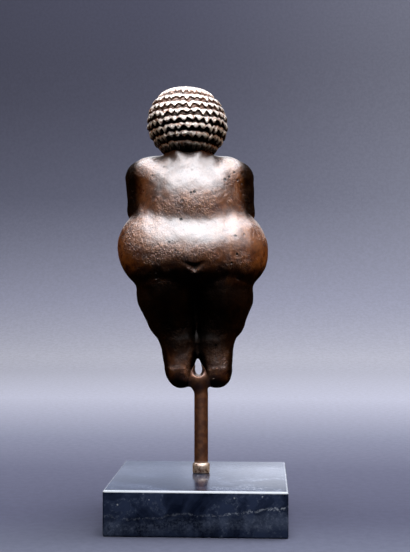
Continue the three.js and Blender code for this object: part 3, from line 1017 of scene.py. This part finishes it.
brown = patches.step(0.34, 0.66).colour(LOW_BROWN, HIGH_BROWN)
handled = (polished_wire * 0.85).colour(brown, HANDLED_BROWN)
speckled = (crumbs.step(0.54, 0.68) * rough_here * 0.5).colour(handled, PALE_CRUMB)
specked_dark = (crumbs.step(0.46, 0.34) * rough_here * 0.7).colour(speckled, DARK_CRUMB)
rubbed_and_sheen = (ridged_wire * grain.step(0.34, 0.54)).colour(specked_dark, RUBBED_AND_SHEEN_METAL)
pitted = (pits * 0.9).colour(rubbed_and_sheen, PIT_BLACK)
height = grain * (0.12 + rough_here * 0.5) + crumbs * (0.04 + rough_here * 0.4)
height = height + patches * (0.25 + rough_here * 0.35)
height = height - pits * 0.6 - scratches * 0.06
# The crown faces the light, so the painted shade in its grooves is mostly lifted
crown = start.add("SeparateXYZ", sockets={0: place}, output=2).step(*CROWN_LEVEL)
shade_and_deposit = (folded_wire.step(0.28, 0.76) * (1 - crown * CROWN_SHADE_LIFT)).larger(painted_shade_wire * PAINTED_SHADE_DEPTH)
finish_material(start, {
    "Base Color": pitted,
    "Metallic": 0.06 + ridged_wire * 0.34,
    "Roughness": 0.24 + patches * 0.08,
    "IOR": 1.72,
    "Specular IOR Level": 0.25,
    "Coat Weight": (1 - pits) * 0.65,
    "Coat Roughness": 0.33,
    "Coat IOR": 1.72,
    "Normal": start.add("Bump", sockets={"Strength": 1, "Distance": MM, "Height": height}),
}, shade_and_deposit)
dress(figure, bronze)

# %% [markdown]
# The post's bronze
#
# The post was coloured with the figure but has no wax to speak of, so it looks drier and flatter.
# Its colour changes in slow patches up the rod, and fine lines run round it where it was turned and
# polished. The top of the collar is paler in patches.

# %% Bronze of the post
ROD_DARK, ROD_LIGHT, COLLAR_PALE = rgb(84, 44, 20), rgb(120, 72, 38), rgb(196, 176, 160)
COLLAR_PALE_LEVELS = (COLLAR_HEIGHT + 0.6 * MM, COLLAR_HEIGHT - 0.8 * MM)
rod_bronze, start, place = new_material("rod_bronze")
patches = noise(place, 0.5, 5, 0.6)
grain = noise(place, 2.6, 4, 0.6)
turned_place = start.add("VectorMath", {"operation": "MULTIPLY"}, {0: place, 1: (0.15, 0.15, 5)})
turned = noise(turned_place, 1, 3)
height = grain * 0.06 + turned * 0.03
above_block = start.add("SeparateXYZ", sockets={0: place}, output=2) - block_top / MM
# the top of the collar is paler in patches
collar_pale_band = above_block.step(*[level / MM for level in COLLAR_PALE_LEVELS])
skin_colour = patches.step(0.35, 0.7).colour(ROD_DARK, ROD_LIGHT)
finish_material(start, {
    "Base Color": (collar_pale_band * patches.step(0.38, 0.56)).colour(skin_colour, COLLAR_PALE),
    "Metallic": 0.4,
    "Roughness": 0.36 + patches * 0.2,
    "Coat Weight": 0.4,
    "Coat Roughness": 0.25,
    "Coat IOR": 1.6,
    "Normal": start.add("Bump", sockets={"Strength": 0.6, "Distance": MM, "Height": height}),
})
dress(post, rod_bronze)

# %% [markdown]
# Polished dark marble
#
# The stone is nearly black with a blue-green cast. A hazy bed and one sharp seam of paler stone run
# through it, almost level, and pale wisps wander between them: the places where a slow noise passes
# through one value. Small white specks are scattered about. Near the top, dust and wear leave a
# faint bloom, and the eased edges are pale, with a painted highlight on those facing the camera.

# %% Veins of the marble
SEAM_LEVEL, BED_LEVEL = 7.6, 4  # millimetres above the floor
BED_TILT, BED_WAVER, BEND = 0.06, 11, 26
WISP_VALUE = 0.55
marble, start, place = new_material("dark_marble")
sideways = start.add("SeparateXYZ", sockets={0: place})
upright = start.add("SeparateXYZ", sockets={0: place}, output=2)
drift = noise(place, 0.05, 3, output=1)
bend = {0: drift, 1: (BEND, BEND, BEND), 2: place}
bent = start.add("VectorMath", {"operation": "MULTIPLY_ADD"}, bend)
cloud = noise(bent, 0.06, 6, 0.65)
crumb = noise(place, 0.9, 5, 0.75)
waver = noise(place, 0.06, 6, 0.62)
bed = upright + sideways * BED_TILT + (waver - 0.5) * BED_WAVER
to_the_right = 0.2 + sideways.step(6, -26) * 0.8
seam = abs(bed - SEAM_LEVEL).step(0.7, 0.0) * crumb.step(0.44, 0.6) * to_the_right
haze = cloud.step(0.4, 0.6) * 0.5 + crumb.step(0.4, 0.75) * 0.8
drift_bed = abs(bed - BED_LEVEL).step(3.6, 0.4) * haze
wisp = abs(cloud - WISP_VALUE).step(0.04, 0.0) * crumb.step(0.46, 0.64)
speck_cells = start.add("TexVoronoi", sockets={"Vector": place, "Scale": 0.32, "Randomness": 1})
specks = speck_cells.step(0.12, 0.06) * cloud.step(0.53, 0.6)
print(len(marble.node_tree.nodes), "nodes for the veins")

# %% Marble of the block
DEEP_STONE, PALE_STONE = rgb(17, 24, 42), rgb(52, 62, 88)
HAZE, WISP = rgb(120, 130, 152), rgb(130, 140, 160)
SEAM, SPECK = rgb(190, 198, 212), rgb(226, 230, 236)
BLOOM, EASED_EDGE_AND_HIGHLIGHT = rgb(176, 180, 188), rgb(240, 244, 250)
BLOOM_DEPTH = 0.3  # millimetres under the top
stone = cloud.step(0.36, 0.64).colour(DEEP_STONE, PALE_STONE)
hazed = (drift_bed * 0.45).colour(stone, HAZE)
wisped = (wisp * 0.3).colour(hazed, WISP)
seamed = (seam * 0.8).colour(wisped, SEAM)
specked = (specks * 0.9).colour(seamed, SPECK)
near_top = upright.step(block_top / MM - BLOOM_DEPTH, block_top / MM)
dusted = near_top * cloud.step(0.45, 0.6) * crumb.step(0.46, 0.66)
dusted = dusted * (0.3 + sideways.step(8, -24) * 0.7)
bloomed = (dusted * 0.8).colour(specked, BLOOM)
# pale eased edges, with a painted highlight on those facing the camera
eased_and_highlit_wire = kept(start, "eased")
polish = noise(place, 0.6, 4)
finish_material(start, {
    "Base Color": (eased_and_highlit_wire * (0.8 + polish * 0.8)).colour(bloomed, EASED_EDGE_AND_HIGHLIGHT),
    "Metallic": 0,
    "Roughness": 0.15 + polish * 0.08 + eased_and_highlit_wire * 0.25,
    "IOR": 1.62,
    "Normal": start.add("Bump", sockets={"Strength": 0.04, "Distance": MM, "Height": polish}),
})
dress(block, marble)

# %% [markdown]
# Floor and backdrop
#
# The bronze stands on a sheet of pale paper that runs back and curves up behind it, so no line
# shows between floor and wall. Light and shade are painted into its colour: it is brightest where
# it starts to curve, more so to the figure's right, darker above and in front, and darkest round
# the block's foot. It isn't seen in reflections, because whatever faces down would mirror it, and
# the underside of such a bronze is black in a dark studio. It is two sheets end to end, so that the
# near one can have a light of its own, and neither is part of the object, so both are stage.

# %% Make the backdrop
PAPER_NEAR = 1.6
PAPER_SPLIT = 0.065
FLOOR_BACK = -0.62
SWEEP_RADIUS = 0.35
SWEEP_STEPS = 24
WALL_HEIGHT = 1.4
PAPER_HALF_WIDTH = 2.2


def paper_sheet(name, profile, start_run):
    """A sheet from points (y, z) along it, each marked with how far along the paper it lies."""
    sides = (-PAPER_HALF_WIDTH, PAPER_HALF_WIDTH)
    points = np.array([(side, y, z) for y, z in profile for side in sides])
    faces = [(2 * n, 2 * n + 1, 2 * n + 3, 2 * n + 2) for n in range(len(profile) - 1)]
    sheet = mesh_object(name, points, faces)
    lengths = [math.dist(a, b) for a, b in zip(profile, profile[1:])]
    runs = start_run + np.concatenate([[0], np.cumsum(lengths)])
    keep_on_vertices(sheet, "run", np.repeat(runs, 2))
    sheet.data.shade_smooth()
    sheet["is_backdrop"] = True
    return sheet


profile = [(PAPER_SPLIT, 0), (FLOOR_BACK, 0)]
for turn in np.radians(np.linspace(0, 90, SWEEP_STEPS + 1))[1:]:
    back, up = SWEEP_RADIUS * math.sin(turn), SWEEP_RADIUS * (1 - math.cos(turn))
    profile.append((FLOOR_BACK - back, up))
profile.append((FLOOR_BACK - SWEEP_RADIUS, WALL_HEIGHT))
far_paper = paper_sheet("far_paper", profile, PAPER_NEAR - PAPER_SPLIT)
near_paper = paper_sheet("near_paper", [(PAPER_NEAR, 0), (PAPER_SPLIT, 0)], 0)
sheets = (far_paper, near_paper)
for sheet in sheets:
    sheet.visible_glossy = False
    sheet.visible_diffuse = False
print("far sheet:", len(far_paper.data.polygons), "faces")

# %% Grade the paper
# Painted light along the paper: brightest where it curves up, darkest round the block's foot
PAINTED_LIGHT_GRADES = [  # along the sheet from its near end: metres, colour
    (0, rgb(142, 148, 174)),
    (1.54, rgb(142, 148, 174)),
    (1.6, rgb(112, 115, 142)),
    (1.7, rgb(128, 131, 158)),
    (1.8, rgb(160, 164, 190)),
    (2.0, rgb(226, 229, 252)),
    (2.3, rgb(234, 236, 255)),
    (2.43, rgb(196, 199, 226)),
    (2.59, rgb(138, 141, 166)),
    (2.72, rgb(124, 126, 150)),
    (2.85, rgb(124, 126, 152)),
    (4.0, rgb(116, 118, 144)),
]
PAPER_LENGTH = PAINTED_LIGHT_GRADES[-1][0]
WALL_START = (2.2, 2.6)
BRIGHT_SIDE = (150, -350)  # millimetres to the figure's left
PAINTED_LIGHT_PAPER, FIBRE_GREY = rgb(214, 217, 238), rgb(60, 62, 74)
paper, start, place = new_material("graded_paper")
run_wire = kept(start, "run")
stops = [(run / PAPER_LENGTH, colour[:3]) for run, colour in PAINTED_LIGHT_GRADES]
graded = start.add("ValToRGB", {"stops": stops}, {0: run_wire * (1 / PAPER_LENGTH)})
across = start.add("SeparateXYZ", sockets={0: place})
# a painted brighter stretch where the paper curves up, to the figure's right
painted_brighter = across.step(*BRIGHT_SIDE) * run_wire.step(*WALL_START) * 0.42
fibres = noise(place, 0.3, 4, 0.8)
shaded = painted_brighter.colour(graded, PAINTED_LIGHT_PAPER)
textured = (fibres.step(0.35, 0.65) * 0.12).colour(shaded, FIBRE_GREY)
finish_material(start, {"Base Color": textured, "Roughness": 0.85, "Specular IOR Level": 0.0})
for sheet in sheets:
    dress(sheet, paper)

# %% [markdown]
# Soft light
#
# A polished bronze is lit by what it mirrors, and a rough one by what falls on it, and this one is
# between the two. So there are two kinds of soft box: one is only mirrored, and draws the broad
# white sheen on everything that faces up and back, and the other only falls on things, and brings
# out the brown. Three mirrored boxes hang one behind the other, so that the sheen fades instead of
# ending in an edge. The boxes for the stone and the paper reach nothing else. Below the horizon the
# studio is black.

# %% Make a soft box


def soft_box(name, at, towards, size, radiance, mirrored, only, colour=(1, 1, 1)):
    """An area light that reaches only some things, and is either mirrored or falls on them."""
    lamp = bpy.data.lights.new(name, "AREA")
    lamp.shape = "RECTANGLE"
    lamp.size, lamp.size_y = size
    lamp.energy = radiance * math.pi * size[0] * size[1]
    lamp.color = colour
    box = bpy.data.objects.new(name, lamp)
    box.location = at
    box.rotation_euler = (Vector(towards) - Vector(at)).to_track_quat("-Z", "Y").to_euler()
    box.visible_camera = False
    box.visible_glossy = mirrored
    box.visible_diffuse = not mirrored
    bpy.context.scene.collection.objects.link(box)
    box.light_linking.receiver_collection = bpy.data.collections.new(name + "_lights")
    for thing in only:
        box.light_linking.receiver_collection.objects.link(thing)


METAL = (figure, post)
COOL, WARM, BLUE = (0.93, 0.95, 1), (1, 0.82, 0.6), (0.66, 0.74, 1)
SUN, SKY = (1, 0.97, 0.92), (0.96, 0.97, 1)
to_figure, to_block = (0, 0, 0.1), (0, 0, 0.016)

# %% Light the bronze
for name, at, size, radiance in (
    ("sheen_core", (-0.04, 0.4, 0.66), (0.75, 0.34), 8),
    ("sheen_round", (-0.05, 0.45, 0.68), (1.15, 0.6), 4.4),
    ("sheen_wide", (-0.1, 0.6, 0.66), (1.9, 1.1), 1.7),
    ("sheen_above", (0, -0.1, 0.9), (1.3, 1.0), 9),
    ("sheen_front", (0, -0.8, 0.5), (0.9, 0.5), 1.6),
):
    soft_box(name, at, to_figure, size, radiance, True, METAL, COOL)
lit = (*METAL, *sheets)  # the paper too, so that it shows the object's shadow
soft_box("overhead", (-0.1, 0, 0.85), to_figure, (0.8, 0.4), 3.8, False, lit, SUN)
for name, at, size, radiance in (
    ("left_fill", (0.8, 0, 0.3), (0.5, 0.5), 3.4),
    ("right_fill", (-0.8, 0, 0.3), (0.5, 0.5), 5),
    ("face_fill", (0.1, -0.8, 0.5), (0.8, 0.6), 2.5),
):
    soft_box(name, at, to_figure, size, radiance, False, METAL, WARM)
print(len(bpy.data.lights), "soft boxes for the bronze")

# %% Light the block and the paper
GLOW_STEPS = 5
GLOW_AT, GLOW_SHIFT = np.array([-0.38, -0.76]), np.array([-0.025, -0.01])
soft_box("block_fill", (-0.2, 0.9, 0.35), to_block, (0.8, 0.5), 2.4, False, (block,), COOL)
soft_box("block_above", (-0.1, 0.1, 0.8), to_block, (0.8, 0.4), 9, False, (block,), COOL)
soft_box("block_card", (-0.1, -0.75, 0.2), to_block, (1.4, 0.4), 0.92, True, (block,), BLUE)
soft_box("paper_light", (-0.3, -0.3, 1.0), (0, -0.7, 0), (1.6, 0.5), 2.55, False, sheets, SKY)
soft_box("near_light", (0, 1.5, 0.6), (0, 1.5, 0), (3.0, 0.6), 0.9, False, (near_paper,))
for side in (-1, 1):  # for the paper's far ends, which this camera doesn't see
    at, below = (side * 1.7, 0, 0.7), (side * 1.9, 0, 0)
    soft_box(f"side_light_{side}", at, below, (0.7, 3.0), 0.6, False, sheets)
for step in range(GLOW_STEPS):  # one after another, so that the glow on the block has no edge
    middle, behind = (GLOW_AT + step * GLOW_SHIFT).tolist()
    at, ahead = (middle, behind, 0.18), (middle, 0, 0.016)
    soft_box(f"block_glow_{step}", at, ahead, (0.9, 0.3), 0.15, True, (block,), COOL)
print(len(bpy.data.lights), "soft boxes in all")

# %% Past the paper's ends
STUDIO_GREY = rgb(88, 90, 110)  # seen by the camera alone, so that the metal stays in the dark
world = bpy.data.worlds.new("studio")
world.use_nodes = True
world.node_tree.nodes.clear()
start = Wire(world.node_tree)
wall = start.add("Background", sockets={0: STUDIO_GREY, 1: 1})
world_output = start.tree.nodes.new("ShaderNodeOutputWorld")
start.tree.links.new(wall.socket, world_output.inputs["Surface"])
world.cycles_visibility.glossy = False
world.cycles_visibility.diffuse = False
bpy.context.scene.world = world
bpy.context.scene.view_settings.view_transform = "Standard"

# %% [markdown]
# The camera
#
# The picture is taken from behind the figure, level, with the lens as high as the middle of its
# seat. A long lens keeps the block's sides nearly straight.

# %% Camera
SENSOR_WIDTH, LENS = 36, 74.3  # millimetres
CAMERA_AT = (-0.0236, 0.4091, 0.0871)
CAMERA_YAW = math.radians(3.07)
NEAREST, FARTHEST = 0.01, 20  # metres that the camera sees
camera_data = bpy.data.cameras.new("camera")
camera_data.sensor_width = SENSOR_WIDTH
camera_data.lens = LENS
camera_data.clip_start = NEAREST
camera_data.clip_end = FARTHEST
camera = bpy.data.objects.new("camera", camera_data)
camera.location = CAMERA_AT
looking = Vector((math.sin(CAMERA_YAW), -math.cos(CAMERA_YAW), 0))
camera.rotation_euler = looking.to_track_quat("-Z", "Y").to_euler()
bpy.context.scene.collection.objects.link(camera)
bpy.context.scene.camera = camera
print("camera", round(camera.location.y, 2), "m behind the block's middle")

# %% [markdown]
# The frame and the dressed object
#
# Both boxes are printed, the solids' and the dressed object's. The dressed object may stand
# hardly any prouder than the solids.

# %% Measure and finish
dressed_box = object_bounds()
for name, (low, high) in (("frame", frame_box), ("dressed", dressed_box)):
    print(name, [round(side / MM, 2) for side in high - low], "mm")
